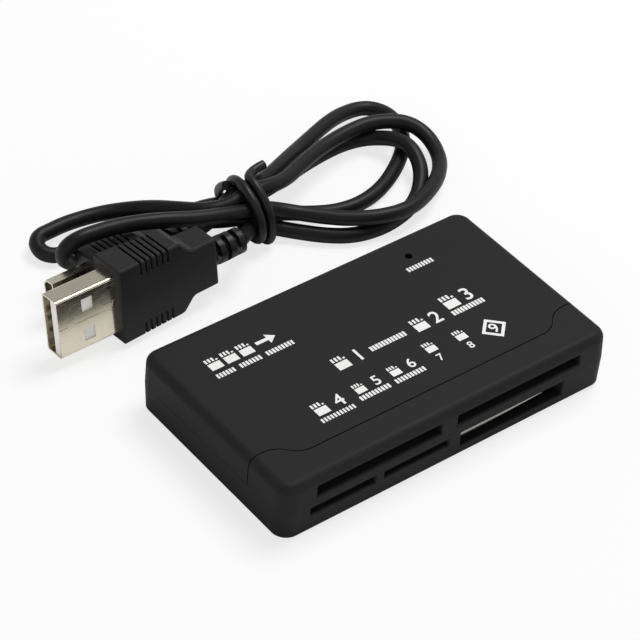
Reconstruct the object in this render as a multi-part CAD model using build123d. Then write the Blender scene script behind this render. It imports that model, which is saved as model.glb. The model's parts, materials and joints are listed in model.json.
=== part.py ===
from build123d import *
import math
import os
from collections import namedtuple

# A multi-slot memory card reader and its detachable lead, in millimetres.
# The reader stands on z = 0, centred on the origin. Its card slots face -Y, +X runs to the
# right along them and +Z is up. The lead lies tied in a hank on the same surface behind it.

# Case: two shells that meet at mid-height and along a wavy seam behind the front strip
case_length = 72.0
case_width = 42.2
case_height = 12.1
cover_height = 5.9
corner_radius = 3.1
side_draft = 2.1
top_round = 1.8
bottom_bevel = 0.7
wall = 1.5
front_wall = 1.9
floor_thickness = 1.4
roof_thickness = 1.4
cavity_corner_radius = 1.6

# Seam: the front strip is deeper at the sides, with an S-bend near each side
strip_depth = 6.4
side_strip_depth = 10.1
seam_bend_inner = 25.3
seam_bend_outer = 33.0
seam_gap = 0.22
shadow_line = 0.08
ledge_reach = 1.5
ledge_thickness = 0.4

# Lip of the lower shell inside the rim of the cover
lip_inset = 0.75
lip_thickness = 0.65
lip_height = 0.9
lip_clearance = 0.08

# Board and the posts that hold it
board_drop = 6.2
board_thickness = 1.2
board_clearance = 0.3
board_corner_radius = 1.2
post_radius = 1.2
post_inset_x = 3.1
post_front_setback = 16.4
post_back_setback = 5.6
pin_radius = 0.6
pin_clearance = 0.1
pin_rise = 0.5

# Card slots: place across the front, opening, and the socket floor between slot and board
upper_rib_x = -0.45
upper_rib_width = 3.6
full_slot_width = 26.5
full_slot_height = 2.25
full_slot_base = 0.58
full_socket_depth = 22.0
full_contact_count = 9
full_contact_pitch = 2.5
full_contact_width = 1.0
picture_slot_width = 27.6
picture_slot_height = 2.15
picture_slot_base = 0.7
picture_socket_depth = 22.0
picture_contact_count = 18
picture_contact_pitch = 1.05
picture_contact_width = 0.5
micro_slot_inset = 6.0
micro_slot_width = 13.6
micro_slot_height = 1.5
micro_slot_base = 0.45
micro_socket_depth = 14.5
micro_contact_count = 8
micro_contact_pitch = 1.1
micro_contact_width = 0.5
tiny_slot_gap = 2.05
tiny_slot_width = 13.9
tiny_slot_height = 1.35
tiny_slot_base = 0.52
tiny_socket_depth = 15.0
tiny_contact_count = 11
tiny_contact_pitch = 0.9
tiny_contact_width = 0.4
stick_slot_gap = 2.85
stick_slot_width = 23.1
stick_slot_rise = 0.94
stick_slot_base = 0.46
stick_socket_depth = 15.2
stick_contact_count = 10
stick_contact_pitch = 1.8
stick_contact_width = 0.8
slot_lead_in = 0.35
slot_lead_in_angle = 40.0

# Card sockets
socket_gap = 0.1
socket_rail = 0.9
socket_back = 1.2
shield_gauge = 0.25
shield_window_width = 1.2
shield_window_length = 6.0
shield_window_places = (-0.25, 0.25)
stick_lip_setback = 0.7
stick_lip_angle = 50.0
stick_lip_lengths = (0.75, 0.15)
stick_lip_end_gap = 2.4
contact_gauge = 0.2
contact_foot = 2.5
contact_reach = 6.5
contact_tip = 1.0
contact_rise = 0.6

# Pin card socket at the back
pin_slot_inset = 6.2
pin_slot_width = 43.6
pin_slot_rise = 0.55
pin_slot_base = 0.25
pin_header_depth = 4.4
pin_header_gap = 0.5
pin_arm = 1.2
pin_size = 0.45
pin_length = 5.0
pin_pitch = 1.27
pin_columns = 25

# Socket for the lead at the back
mini_socket_inset = 8.9
mini_socket_width = 7.7
mini_socket_rise = 0.55
mini_socket_depth = 9.2
mini_socket_bevel = 0.9
mini_socket_setback = 0.35
mini_socket_opening_clearance = 0.2
mini_tongue_width = 3.9
mini_tongue_thickness = 0.9
mini_tongue_length = 6.0
mini_contact_pitch = 0.8
mini_contact_width = 0.3
mini_contact_count = 5

# Parts on top of the board, behind the upper sockets
lamp_inset = 17.0
lamp_setback = 5.9
lamp_hole_radius = 0.75
lamp_size = (1.6, 0.8, 0.7)
chip_inset = 31.0
chip_row_gap = 6.0
chip_side = 7.0
chip_height = 1.4
chip_standoff = 0.1
chip_lead_pitch = 0.5
chip_lead_count = 12
chip_lead_width = 0.22
chip_lead_length = 1.0
chip_lead_gauge = 0.15
crystal_inset = 13.0
crystal_setback = 7.8
crystal_length = 11.0
crystal_width = 4.6
crystal_height = 3.1
crystal_flange = 0.35
crystal_flange_height = 0.4
regulator_inset = 25.5
regulator_setback = 8.0
regulator_body = (6.5, 3.5, 1.6)
regulator_leg = (0.7, 1.7, 0.25)
regulator_tab_width = 3.0
regulator_leg_pitch = 2.3
bulk_capacitor_inset = 13.5
bulk_capacitor_setback = 9.6
bulk_capacitor_size = (3.5, 2.8, 1.9)
capacitor_row_setback = 1.5
capacitor_size = (2.0, 1.25, 0.9)
resistor_size = (1.6, 0.8, 0.45)

# Sheet metal shells of both plugs and of the lead's socket
sheet_gauge = 0.3

# Large plug of the lead
plug_x = -42.15
plug_y = 38.8
plug_yaw = 0.9
plug_pitch = 0.45
plug_lean = -8.0
plug_shell_height = 12.0
plug_shell_thickness = 4.5
plug_shell_round = 0.5
plug_shell_exposed = 12.2
plug_shell_seat = 3.0
plug_window_start = 5.1
plug_window_length = 2.3
plug_window_height = 2.6
plug_window_offset = 3.1
plug_seam_width = 0.16
plug_seam_depth = 0.12
plug_dovetail_width = 1.7
plug_dovetail_height = 1.3
plug_dovetail_flare = 0.3
plug_dovetail_starts = (1.8, 9.6)
plug_tongue_thickness = 1.85
plug_tongue_setback = 0.2
plug_tongue_root = 9.5
plug_contact_width = 1.0
plug_contact_gauge = 0.25
plug_contact_offsets = (-3.5, -1.0, 1.0, 3.5)
plug_contact_setback = 1.3
plug_body_length = 13.8
plug_body_height = 15.6
plug_body_rear_height = 15.0
plug_body_thickness = 8.1
plug_shoulder_length = 2.4
plug_neck_length = 5.6
plug_neck_height = 9.8
plug_neck_thickness = 6.2
plug_body_round = 0.4
plug_edge_bevel = 0.35
plug_shoulder_round = 1.6
plug_groove_start = 4.85
plug_relief_length = 7.1
plug_relief_radius = 2.65
plug_relief_tip_radius = 2.5

# Small plug of the lead
mini_plug_x = -36.55
mini_plug_y = 48.05
mini_plug_yaw = 1.4
mini_plug_pitch = 0.0
mini_plug_lean = -11.0
mini_plug_shell_height = 6.8
mini_plug_shell_thickness = 3.0
mini_plug_shell_bevel = 0.9
mini_plug_shell_exposed = 8.3
mini_plug_shell_seat = 2.0
mini_plug_core_setback = 0.6
mini_plug_recess_depth = 0.6
mini_plug_recess_width = 4.6
mini_plug_body_length = 11.4
mini_plug_body_height = 10.0
mini_plug_body_rear_height = 9.7
mini_plug_body_thickness = 7.6
mini_plug_shoulder_length = 1.6
mini_plug_neck_length = 3.9
mini_plug_neck_height = 7.0
mini_plug_neck_thickness = 6.2
mini_plug_groove_start = 3.0
mini_plug_relief_length = 7.1
mini_plug_relief_radius = 2.65
mini_plug_relief_tip_radius = 2.3

# Grip grooves and ringed strain reliefs, alike on both plugs
groove_width = 0.5
groove_pitch = 1.2
groove_count = 6
groove_depth = 0.5
groove_side_depth = 0.35
groove_side_reach = 2.6
relief_ring_width = 1.2
relief_ring_pitch = 2.2
relief_groove_depth = 0.8
relief_rib_width = 1.6
relief_turns = (105, 150, 105)

# Cord and its hank
cord_diameter = 3.0
bend_share = 0.45
plug_tail_route = [(1.6, 41.2, 7.3), (6.4, 47.4, 5.2)]
mini_tail_route = [(0.5, 49.1, 6.1), (8.0, 49.2, 7.4)]
waist_x = 9.0
waist_y = 48.9
waist_z = 5.8
waist_yaw = -8.0
waist_length = 8.0
waist_radius = 4.4
right_loops = [(16.2, 47.4, 4.0), (29.0, 43.6, 13.2), (44.2, 45.2, 11.4), (44.0, 58.2, 11.4)]
right_eye = [(26.0, 48.0, 2.4), (37.0, 49.0, 4.2)]
right_loops_height = 6.0
left_loop = [(-24.4, 63.2, 5.6), (-24.4, 57.2, 4.0), (0.0, 56.0, 2.8)]
left_loop_height = 6.0
left_link = [(-1.0, 56.2, 2.2), (4.6, 51.4, 2.2)]
left_link_height = 4.2
standing_loop = [(-28.8, 55.4, 1.7), (-8.0, 55.4, 1.7)]
standing_loop_height = 11.9
tie_radius = 0.65
tie_places = (-1.4, 1.4)
tie_sides = 6
tie_end_radius = 0.55
tie_end_rise = 1.6
tie_end_reach = 2.4

# Values that follow from the sizes above
parting_height = case_height - cover_height
board_height = case_height - board_drop
board_top = board_height + board_thickness
roof_inside = case_height - roof_thickness
front_inside = -case_width / 2 + front_wall
back_inside = case_width / 2 - wall
side_inside = case_length / 2 - wall
socket_front = front_inside + socket_gap
post_x = case_length / 2 - post_inset_x
post_front_y = case_width / 2 - post_front_setback
post_back_y = case_width / 2 - post_back_setback
board_back = back_inside - board_clearance
board_front = front_inside + board_clearance
far = case_length + case_width
tolerance = 1e-6
cord_radius = cord_diameter / 2
full_slot_x = upper_rib_x - (upper_rib_width + full_slot_width) / 2
picture_slot_x = upper_rib_x + (upper_rib_width + picture_slot_width) / 2
micro_slot_x = micro_slot_inset + (micro_slot_width - case_length) / 2
tiny_slot_x = micro_slot_x + micro_slot_width / 2 + tiny_slot_gap + tiny_slot_width / 2
stick_slot_x = tiny_slot_x + tiny_slot_width / 2 + stick_slot_gap + stick_slot_width / 2
stick_slot_height = board_height - stick_slot_base - floor_thickness - stick_slot_rise
pin_slot_x = pin_slot_inset + (pin_slot_width - case_length) / 2
pin_slot_floor = floor_thickness + pin_slot_rise
pin_slot_height = board_height - pin_slot_base - pin_slot_floor
pin_header_front = socket_front + stick_socket_depth + pin_header_gap
pin_header_back = pin_header_front + pin_header_depth
mini_socket_x = case_length / 2 - mini_socket_inset
mini_socket_floor = floor_thickness + mini_socket_rise
mini_socket_height = board_height - mini_socket_floor
lamp_x = case_length / 2 - lamp_inset
lamp_y = case_width / 2 - lamp_setback
chip_x = chip_inset - case_length / 2
crystal_x = crystal_inset - case_length / 2
regulator_x = case_length / 2 - regulator_inset
bulk_capacitor_x = case_length / 2 - bulk_capacitor_inset
capacitor_row_y = board_back - capacitor_row_setback
chip_y = capacitor_row_y - chip_row_gap
crystal_y = board_back - crystal_setback
regulator_y = board_back - regulator_setback
bulk_capacitor_y = board_back - bulk_capacitor_setback

Slot = namedtuple("Slot", "x width height base depth contacts pitch contact_width upper")
full_slot = Slot(full_slot_x, full_slot_width, full_slot_height, full_slot_base,
                 full_socket_depth, full_contact_count, full_contact_pitch,
                 full_contact_width, True)
picture_slot = Slot(picture_slot_x, picture_slot_width, picture_slot_height, picture_slot_base,
                    picture_socket_depth, picture_contact_count, picture_contact_pitch,
                    picture_contact_width, True)
micro_slot = Slot(micro_slot_x, micro_slot_width, micro_slot_height, micro_slot_base,
                  micro_socket_depth, micro_contact_count, micro_contact_pitch,
                  micro_contact_width, False)
tiny_slot = Slot(tiny_slot_x, tiny_slot_width, tiny_slot_height, tiny_slot_base,
                 tiny_socket_depth, tiny_contact_count, tiny_contact_pitch,
                 tiny_contact_width, False)
stick_slot = Slot(stick_slot_x, stick_slot_width, stick_slot_height, stick_slot_base,
                  stick_socket_depth, stick_contact_count, stick_contact_pitch,
                  stick_contact_width, False)
slots = (full_slot, picture_slot, micro_slot, tiny_slot, stick_slot)


def block(xs, ys, zs):
    """Box between a low and a high value on each axis."""
    size = [high - low for low, high in (xs, ys, zs)]
    centre = [(low + high) / 2 for low, high in (xs, ys, zs)]
    return Pos(*centre) * Box(*size)


def around(centre, width):
    """Low and high value of a span about its centre."""
    return (centre - width / 2, centre + width / 2)


def slot_floor(slot):
    """Lowest level of a card slot: upper slots stand on the board, lower ones hang below it."""
    if slot.upper:
        return board_top + slot.base
    return board_height - slot.base - slot.height


def case_plan(inset):
    """Outline of the case at the parting plane, moved inwards by inset."""
    return RectangleRounded(case_length - 2 * inset, case_width - 2 * inset, corner_radius - inset)


def case_form():
    """Outside of the closed case: widest at the parting plane, drafted up and down from it."""
    middle = Plane.XY.offset(parting_height) * case_plan(0)
    upper = extrude(middle, amount=case_height - parting_height, taper=side_draft)
    lower = extrude(middle, amount=-parting_height, taper=side_draft)
    form = upper + lower
    form = fillet(form.edges().group_by(Axis.Z)[-1], top_round)
    return chamfer(form.edges().group_by(Axis.Z)[0], bottom_bevel)


def cavity():
    """Room inside the case."""
    width = back_inside - front_inside
    centre_y = (back_inside + front_inside) / 2
    outline = Pos(0, centre_y) * RectangleRounded(2 * side_inside, width, cavity_corner_radius)
    return extrude(Plane.XY.offset(floor_thickness) * outline, amount=roof_inside - floor_thickness)


def front_prism(shift):
    """Upright prism in front of the wavy seam, with the seam moved back by shift."""
    front = -case_width / 2
    side_y = front + side_strip_depth + shift
    middle_y = front + strip_depth + shift
    run = seam_bend_outer - seam_bend_inner
    turn = 2 * math.atan((side_y - middle_y) / run)
    radius = run / (2 * math.sin(turn))
    bend = math.degrees(turn)
    left = Line((-far, side_y), (-seam_bend_outer, side_y))
    first = JernArc(left @ 1, (1, 0), radius, -bend)
    second = JernArc(first @ 1, first % 1, radius, bend)
    middle = Line(second @ 1, (seam_bend_inner, middle_y))
    third = JernArc(middle @ 1, (1, 0), radius, bend)
    fourth = JernArc(third @ 1, third % 1, radius, -bend)
    right = Line(fourth @ 1, (far, side_y))
    rest = Polyline((far, side_y), (far, -far), (-far, -far), (-far, side_y))
    edges = [left, first, second, middle, third, fourth, right, *rest.edges()]
    return extrude(make_face(edges), amount=case_height)


def lip_ring(clearance):
    """Lip on the rim of the lower shell, behind the seam, grown by clearance on its sides."""
    outer = case_plan(lip_inset - clearance)
    inner = case_plan(lip_inset + lip_thickness + clearance)
    ring = extrude(Plane.XY.offset(parting_height) * (outer - inner), amount=lip_height + clearance)
    behind = -case_width / 2 + side_strip_depth + seam_gap + lip_thickness - clearance
    return ring & block((-far, far), (behind, far), (0, case_height))


def at_posts(shape):
    """Copies of a shape at the four board posts."""
    places = [(x, y) for x in (-post_x, post_x) for y in (post_front_y, post_back_y)]
    return [Pos(x, y, 0) * shape for x, y in places]


def rod(radius, low, high):
    """Upright cylinder between two levels."""
    return Pos(0, 0, (low + high) / 2) * Cylinder(radius, high - low)


def slot_cut(x, width, low, height, face_y, inwards):
    """Opening through an end wall, with a lead-in at its mouth; inwards is +1 or -1 along Y."""
    wall_span = sorted((face_y - inwards * wall, face_y + inwards * 2 * front_wall))
    hole = block(around(x, width), wall_span, (low, low + height))
    plane = Plane(origin=(x, face_y + inwards * slot_lead_in, low + height / 2),
                  x_dir=(1, 0, 0), z_dir=(0, -inwards, 0))
    mouth = extrude(plane * Rectangle(width, height), amount=wall, taper=-slot_lead_in_angle)
    return hole + mouth


def bottom_case():
    form = case_form()
    ledge_level = roof_inside - ledge_thickness
    ledge = front_prism(ledge_reach) & cavity()
    ledge = ledge & block((-far, far), (-far, far), (ledge_level, roof_inside))
    case = form & block((-far, far), (-far, far), (0, parting_height))
    case = case + (form & front_prism(-seam_gap / 2)) - cavity()
    case = case + ledge + lip_ring(0)
    for slot in slots:
        case -= slot_cut(slot.x, slot.width, slot_floor(slot), slot.height, -case_width / 2, 1)
    case -= slot_cut(pin_slot_x, pin_slot_width, pin_slot_floor, pin_slot_height, case_width / 2, -1)
    room = mini_socket_opening_clearance
    case -= block(around(mini_socket_x, mini_socket_width + 2 * room), (back_inside - wall, far),
                  (mini_socket_floor - room, board_height + room))
    for post in at_posts(rod(post_radius, floor_thickness, board_height)):
        case += post
    for pin in at_posts(rod(pin_radius, floor_thickness, board_top + pin_rise)):
        case += pin
    return case


def top_cover():
    cover = case_form() & block((-far, far), (-far, far), (parting_height, case_height))
    cover = cover - front_prism(seam_gap / 2) - cavity()
    rim = Plane.XY.offset(parting_height) * (Rectangle(far, far) - case_plan(shadow_line))
    cover -= extrude(rim, amount=shadow_line)
    cover -= lip_ring(lip_clearance)
    for post in at_posts(rod(post_radius, board_top, roof_inside)):
        cover += post
    for hole in at_posts(rod(pin_radius + pin_clearance, board_top, board_top + 2 * pin_rise)):
        cover -= hole
    return cover - Pos(lamp_x, lamp_y, 0) * rod(lamp_hole_radius, board_top, far)


def circuit_board():
    length = 2 * (side_inside - board_clearance)
    outline = RectangleRounded(length, board_back - board_front, board_corner_radius)
    outline = Pos(0, (board_front + board_back) / 2) * outline
    board = extrude(Plane.XY.offset(board_height) * outline, amount=board_thickness)
    for hole in at_posts(rod(pin_radius + pin_clearance, board_height, board_top)):
        board -= hole
    return board


def socket_frame(slot):
    """Moulded tray of a card socket: floor on the board, two rails and a back wall."""
    low = slot_floor(slot)
    high = low + slot.height
    back = socket_front + slot.depth
    levels = (board_top, high) if slot.upper else (low, board_height)
    open_levels = (low, high + wall) if slot.upper else (low - wall, high)
    tray = block(around(slot.x, slot.width + 2 * socket_rail), (socket_front, back), levels)
    return tray - block(around(slot.x, slot.width), (-far, back - socket_back), open_levels)


def socket_shield(slot, setback):
    """Sheet cover over the open side of a socket, with two long windows, set back from its mouth."""
    low = slot_floor(slot)
    level = low + slot.height if slot.upper else low - shield_gauge
    back = socket_front + slot.depth
    sheet = block(around(slot.x, slot.width + 2 * socket_rail), (socket_front + setback, back),
                  (level, level + shield_gauge))
    window_y = around((socket_front + back) / 2, shield_window_length)
    for share in shield_window_places:
        window_x = around(slot.x + share * slot.width, shield_window_width)
        sheet -= block(window_x, window_y, (level, level + shield_gauge))
    return sheet


def stick_card_shield():
    """Sheet with a bent-down front lip, which narrows to the right, for the card to ride in on."""
    sheet = socket_shield(stick_slot, stick_lip_setback)
    left, right = around(stick_slot.x, stick_slot.width)
    bend = Vector(0, socket_front + stick_lip_setback, slot_floor(stick_slot))
    down = Vector(0, -1, 0).rotate(Axis.X, stick_lip_angle)
    under = down.rotate(Axis.X, 90) * shield_gauge
    ends = []
    for x, length in zip((left, right - stick_lip_end_gap), stick_lip_lengths):
        corners = [bend, bend + down * length, bend + down * length + under, bend + under]
        ends.append(make_face(Polyline(*[corner + Vector(x, 0, 0) for corner in corners], close=True)))
    return sheet + loft(ends)


def socket_contacts(slot):
    """Row of bent springs that lie on the socket floor against its back wall."""
    side = 1 if slot.upper else -1
    root_y = socket_front + slot.depth - socket_back
    root_z = slot_floor(slot) if slot.upper else slot_floor(slot) + slot.height
    line = [(0, 0), (contact_foot, 0), (contact_reach - contact_tip, contact_rise),
            (contact_reach, contact_rise / 2)]
    near = [(root_y - along, root_z + side * rise) for along, rise in line]
    away = [(y, z + side * contact_gauge) for y, z in reversed(near)]
    profile = make_face(Polyline(*near, *away, close=True))
    strip = extrude(Plane.YZ * profile, amount=slot.contact_width / 2, both=True)
    first = slot.x - (slot.contacts - 1) * slot.pitch / 2
    return Compound([Pos(first + i * slot.pitch, 0, 0) * strip for i in range(slot.contacts)])


def pin_card_socket():
    """Header block with a guide arm at each end, under the back of the board."""
    frame = block(around(pin_slot_x, pin_slot_width + 2 * pin_arm),
                  (pin_header_front, back_inside - socket_gap), (pin_slot_floor, board_height))
    return frame - block(around(pin_slot_x, pin_slot_width), (pin_header_back, far),
                         (0, board_height - pin_slot_base))


def pin_card_pins():
    middle = pin_slot_floor + pin_slot_height / 2
    first = pin_slot_x - (pin_columns - 1) * pin_pitch / 2
    pins = []
    for row in (-pin_pitch / 2, pin_pitch / 2):
        for column in range(pin_columns):
            x = first + column * pin_pitch
            span = (pin_header_back, pin_header_back + pin_length)
            pins.append(block(around(x, pin_size), span, around(middle + row, pin_size)))
    return Compound(pins)


def bevelled_section(width, height, bevel):
    """Rectangle with its two lower corners cut off."""
    half = width / 2
    return make_face(Polyline((-half, height), (half, height), (half, bevel), (half - bevel, 0),
                              (bevel - half, 0), (-half, bevel), close=True))


def mini_socket_plane():
    """Plane of the lead socket's mouth, facing into the case."""
    mouth_y = case_width / 2 - mini_socket_setback
    return Plane(origin=(mini_socket_x, mouth_y, mini_socket_floor), x_dir=(1, 0, 0), z_dir=(0, -1, 0))


def mini_socket_shell():
    section = bevelled_section(mini_socket_width, mini_socket_height, mini_socket_bevel)
    plane = mini_socket_plane()
    tube = extrude(plane * section, amount=mini_socket_depth)
    bore = extrude(plane * offset(section, amount=-sheet_gauge), amount=mini_socket_depth)
    return tube - bore


def mini_socket_tongue():
    section = bevelled_section(mini_socket_width, mini_socket_height, mini_socket_bevel)
    section = offset(section, amount=-sheet_gauge)
    plane = mini_socket_plane()
    root = mini_socket_depth - mini_tongue_length / 2
    plug = extrude(plane.offset(root) * section, amount=mini_socket_depth - root)
    blade = Pos(0, mini_socket_height / 2, 0) * Rectangle(mini_tongue_width, mini_tongue_thickness)
    return plug + extrude(plane.offset(root - mini_tongue_length) * blade, amount=mini_tongue_length)


def mini_socket_contacts():
    plane = mini_socket_plane()
    root = mini_socket_depth - mini_tongue_length / 2
    level = mini_socket_height / 2 + mini_tongue_thickness / 2
    first = -(mini_contact_count - 1) * mini_contact_pitch / 2
    strips = []
    for i in range(mini_contact_count):
        foot = Pos(first + i * mini_contact_pitch, level + contact_gauge / 2, 0)
        strip = foot * Rectangle(mini_contact_width, contact_gauge)
        strips.append(extrude(plane.offset(root - mini_tongue_length) * strip, amount=mini_tongue_length))
    return Compound(strips)


def on_board(x, y, size):
    """Block of a given size that stands on the board."""
    return block(around(x, size[0]), around(y, size[1]), (board_top, board_top + size[2]))


def indicator_led():
    return on_board(lamp_x, lamp_y, lamp_size)


def controller_chip():
    levels = (board_top + chip_standoff, board_top + chip_height)
    body = block(around(chip_x, chip_side), around(chip_y, chip_side), levels)
    return chamfer(body.edges().filter_by(Axis.Z), chip_lead_pitch)


def chip_leads():
    lead = block((chip_side / 2, chip_side / 2 + chip_lead_length), around(0, chip_lead_width),
                 (board_top, board_top + chip_lead_gauge))
    first = -(chip_lead_count - 1) * chip_lead_pitch / 2
    leads = []
    for quarter in range(4):
        for i in range(chip_lead_count):
            place = Pos(chip_x, chip_y, 0) * Rot(0, 0, 90 * quarter)
            leads.append(place * Pos(0, first + i * chip_lead_pitch, 0) * lead)
    return Compound(leads)


def crystal():
    plane = Plane.XY.offset(board_top) * Location((crystal_x, crystal_y, 0))
    flange = SlotOverall(crystal_length + 2 * crystal_flange, crystal_width + 2 * crystal_flange)
    can = extrude(plane * SlotOverall(crystal_length, crystal_width), amount=crystal_height)
    can = chamfer(can.edges().group_by(Axis.Z)[-1], crystal_flange)
    return can + extrude(plane * flange, amount=crystal_flange_height)


def regulator():
    body = on_board(regulator_x, regulator_y, regulator_body)
    reach = (regulator_body[1] + regulator_leg[1]) / 2
    body += on_board(regulator_x, regulator_y + reach, (regulator_tab_width, *regulator_leg[1:]))
    for step in (-1, 0, 1):
        body += on_board(regulator_x + step * regulator_leg_pitch, regulator_y - reach, regulator_leg)
    return body


def bulk_capacitor():
    return on_board(bulk_capacitor_x, bulk_capacitor_y, bulk_capacitor_size)


def capacitors():
    step_x = 2 * capacitor_size[0]
    row = [on_board(chip_x + step * step_x, capacitor_row_y, capacitor_size) for step in (-1, 0, 1)]
    step_y = 2 * capacitor_size[1]
    side_x = crystal_x + crystal_length / 2 + step_x
    column = [on_board(side_x, crystal_y + step * step_y, capacitor_size) for step in (-1, 1)]
    return Compound(row + column)


def resistors():
    row_x = regulator_x + regulator_body[0] + resistor_size[0]
    step_y = 2 * resistor_size[1]
    column = [on_board(row_x, regulator_y + step * step_y, resistor_size) for step in (-2, -1, 0, 1)]
    beside_lamp = on_board(lamp_x + 2 * resistor_size[0], lamp_y, resistor_size)
    return Compound(column + [beside_lamp])


# Each plug is drawn with its mouth at x = 0 and its cord end towards +X, standing on its narrow side
Plug = namedtuple("Plug", "x y yaw pitch lean front body_length height rear_height thickness shoulder neck"
                          " neck_height neck_thickness groove_start relief_length relief_radius relief_tip")
large_plug = Plug(plug_x, plug_y, plug_yaw, plug_pitch, plug_lean, plug_shell_exposed, plug_body_length,
                  plug_body_height, plug_body_rear_height, plug_body_thickness, plug_shoulder_length,
                  plug_neck_length, plug_neck_height, plug_neck_thickness, plug_groove_start,
                  plug_relief_length, plug_relief_radius, plug_relief_tip_radius)
small_plug = Plug(mini_plug_x, mini_plug_y, mini_plug_yaw, mini_plug_pitch, mini_plug_lean,
                  mini_plug_shell_exposed, mini_plug_body_length, mini_plug_body_height,
                  mini_plug_body_rear_height, mini_plug_body_thickness, mini_plug_shoulder_length,
                  mini_plug_neck_length, mini_plug_neck_height, mini_plug_neck_thickness,
                  mini_plug_groove_start, mini_plug_relief_length, mini_plug_relief_radius,
                  mini_plug_relief_tip_radius)


def plug_place(plug):
    """Place of a plug that leans back on the surface, its axis rising a little towards the cord."""
    lean = math.radians(abs(plug.lean))
    pitch = math.radians(plug.pitch)
    upright = (plug.height / 2 - plug_body_round) * math.cos(lean)
    aside = (plug.thickness / 2 - plug_body_round) * math.sin(lean)
    low = (upright + aside) * math.cos(pitch) + plug_body_round
    level = low - (plug.front + plug_body_round) * math.sin(pitch)
    return Pos(plug.x, plug.y, level) * Rot(0, 0, plug.yaw) * Rot(0, -plug.pitch, 0) * Rot(plug.lean, 0, 0)


def neck_end(plug):
    """Distance from a plug's mouth to the end of its neck."""
    return plug.front + plug.body_length + plug.shoulder + plug.neck


def lying_rod(radius, low, high):
    """Cylinder along X between two places."""
    return Pos((low + high) / 2, 0, 0) * Rot(0, 90, 0) * Cylinder(radius, high - low)


def strain_relief(plug):
    """Ringed, tapering sleeve; pairs of ribs, turned from groove to groove, join its rings."""
    start = neck_end(plug)
    sleeve_radius = plug.relief_tip - relief_groove_depth
    sleeve = lying_rod(sleeve_radius, start - plug.neck / 2, start + plug.relief_length)
    grooves = len(relief_turns)
    first = start + plug.relief_length - relief_ring_width - grooves * relief_ring_pitch
    for i in range(grooves + 1):
        radius = plug.relief_radius + i / grooves * (plug.relief_tip - plug.relief_radius)
        ring = first + i * relief_ring_pitch
        sleeve += lying_rod(radius, ring, ring + relief_ring_width)
    for i, turn in enumerate(relief_turns):
        ring = first + i * relief_ring_pitch
        rib = block((ring, ring + relief_ring_pitch), around(0, relief_rib_width),
                    around(0, 2 * plug.relief_tip))
        sleeve += Rot(turn, 0, 0) * rib
    return sleeve


def grip_body(plug):
    """Grip, shoulders and neck of a plug's overmould, lower and thinner towards the cord."""
    front = plug.front
    shoulder = front + plug.body_length
    neck = shoulder + plug.shoulder
    end = neck_end(plug)
    high = plug.height / 2
    rear = plug.rear_height / 2
    low = plug.neck_height / 2
    outline = make_face(Polyline((front, -high), (shoulder, -rear), (neck, -low), (end, -low), (end, low),
                                 (neck, low), (shoulder, rear), (front, high), close=True))
    bends = [v for v in outline.vertices() if front + tolerance < v.X < end - tolerance]
    outline = fillet(bends, plug_shoulder_round)
    corners = [v for v in outline.vertices() if min(v.X - front, end - v.X) < tolerance]
    outline = fillet(corners, plug_body_round)
    wide = plug.thickness / 2
    thin = plug.neck_thickness / 2
    plan = make_face(Polyline((front, -wide), (end, -thin), (end, thin), (front, wide), close=True))
    body = extrude(Plane.XZ * outline, amount=wide, both=True) & extrude(plan, amount=high, both=True)
    sides = body.faces().sort_by(Axis.Y)
    return chamfer(sides[0].edges() + sides[-1].edges(), plug_edge_bevel)


def grip_groove(plug, place):
    """One groove across the top and bottom of a grip, running a little way down its sides."""
    share = (place - plug.front) / plug.body_length
    high = (plug.height + share * (plug.rear_height - plug.height)) / 2
    along = (place - plug.front) / (neck_end(plug) - plug.front)
    wide = (plug.thickness + along * (plug.neck_thickness - plug.thickness)) / 2
    span = around(place, groove_width)
    outside = block(span, around(0, 2 * plug.thickness), around(0, 2 * plug.height))
    outside -= block(span, around(0, 2 * (wide - groove_side_depth)), around(0, 2 * (high - groove_depth)))
    return outside - block(span, around(0, 2 * plug.thickness), around(0, 2 * (high - groove_side_reach)))


def moulding(plug, pocket):
    """Overmould of a plug round the pocket for its shell, with its grooves and strain relief."""
    body = grip_body(plug)
    for i in range(groove_count):
        body -= grip_groove(plug, plug.front + plug.groove_start + i * groove_pitch)
    return body + strain_relief(plug) - pocket


def along_plug(section, start, end):
    """Section drawn across a plug, in its thickness and height, run along the plug's axis."""
    return extrude(Plane.YZ.offset(start) * section, amount=end - start)


def plug_section(inset):
    """Outline of the large plug's shell, moved inwards."""
    return RectangleRounded(plug_shell_thickness - 2 * inset, plug_shell_height - 2 * inset,
                            plug_shell_round - inset)


plug_seat_end = plug_shell_exposed + plug_shell_seat
mini_plug_seat_end = mini_plug_shell_exposed + mini_plug_shell_seat


def shell_seam():
    """Fine groove of the shell's butt joint, with two dovetails."""
    points = [(-1, 0)]
    for start in plug_dovetail_starts:
        end = start + plug_dovetail_width
        points += [(start, 0), (start - plug_dovetail_flare, plug_dovetail_height),
                   (end + plug_dovetail_flare, plug_dovetail_height), (end, 0)]
    points.append((plug_seat_end, 0))
    line = Polyline(*points)
    trace_face = trace(line, plug_seam_width)
    face_y = -plug_shell_thickness / 2
    plane = Plane(origin=(0, face_y, 0), x_dir=(1, 0, 0), z_dir=(0, -1, 0))
    return extrude(plane * trace_face, amount=-plug_seam_depth)


def plug_shell():
    shell = along_plug(plug_section(0), 0, plug_seat_end)
    shell -= along_plug(plug_section(sheet_gauge), 0, plug_seat_end)
    window_x = (plug_window_start, plug_window_start + plug_window_length)
    for side in (-1, 1):
        window_z = around(side * plug_window_offset, plug_window_height)
        shell -= block(window_x, around(0, 2 * plug_shell_thickness), window_z)
    return plug_place(large_plug) * (shell - shell_seam())


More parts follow.
